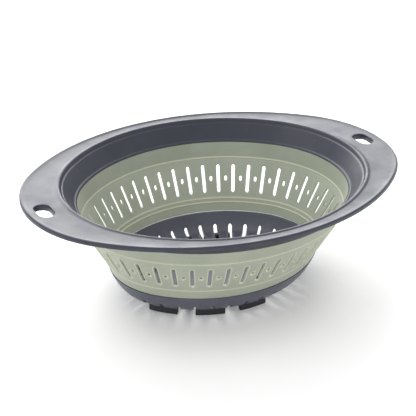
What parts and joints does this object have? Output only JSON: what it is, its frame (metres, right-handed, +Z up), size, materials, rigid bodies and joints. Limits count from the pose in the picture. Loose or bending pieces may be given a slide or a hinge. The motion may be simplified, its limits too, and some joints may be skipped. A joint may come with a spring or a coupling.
{
  "type": "collapsible colander",
  "caption": "Oval folding colander: hard rim with two swept handles and hang holes, slotted soft wall that folds up, slotted hard base on short curved feet.",
  "frame": {"origin": "centre of the plane that the feet stand on, under the middle of the bowl", "axes": "+X along the handles, +Y across the bowl, +Z up"},
  "size_m": [0.3688, 0.2774, 0.1113],
  "materials": {
    "rim_plastic": "satin blue-grey moulded polypropylene",
    "collar_plastic": "dark satin moulded polypropylene",
    "wall_rubber": "matt sage green soft rubber",
    "base_plastic": "satin grey moulded polypropylene",
    "foot_rubber": "matt near-black rubber"
  },
  "bodies": {
    "rim": {"rim_frame": "rim_plastic", "rim_collar": "collar_plastic", "upper_wall_band": "wall_rubber", "upper_fold_ring": "wall_rubber"},
    "band": {"slotted_wall_band": "wall_rubber"},
    "base": {"lower_fold_ring": "wall_rubber", "lower_wall_band": "wall_rubber", "base_shell": "base_plastic", "foot_01": "foot_rubber", "foot_02": "foot_rubber", "foot_03": "foot_rubber", "foot_04": "foot_rubber", "foot_05": "foot_rubber", "foot_06": "foot_rubber"}
  },
  "joints": [
    {"name": "collapse", "type": "slide", "parent": "rim", "child": "base", "axis": [0, 0, 1], "range_m": [0, 0.078]},
    {"name": "wall_fold", "type": "slide", "parent": "rim", "child": "band", "axis": [0, 0, 1], "range_m": [0, 0.039]}
  ],
  "couplings": [
    {"joint": "wall_fold", "follows": "collapse", "ratio": 0.5}
  ]
}
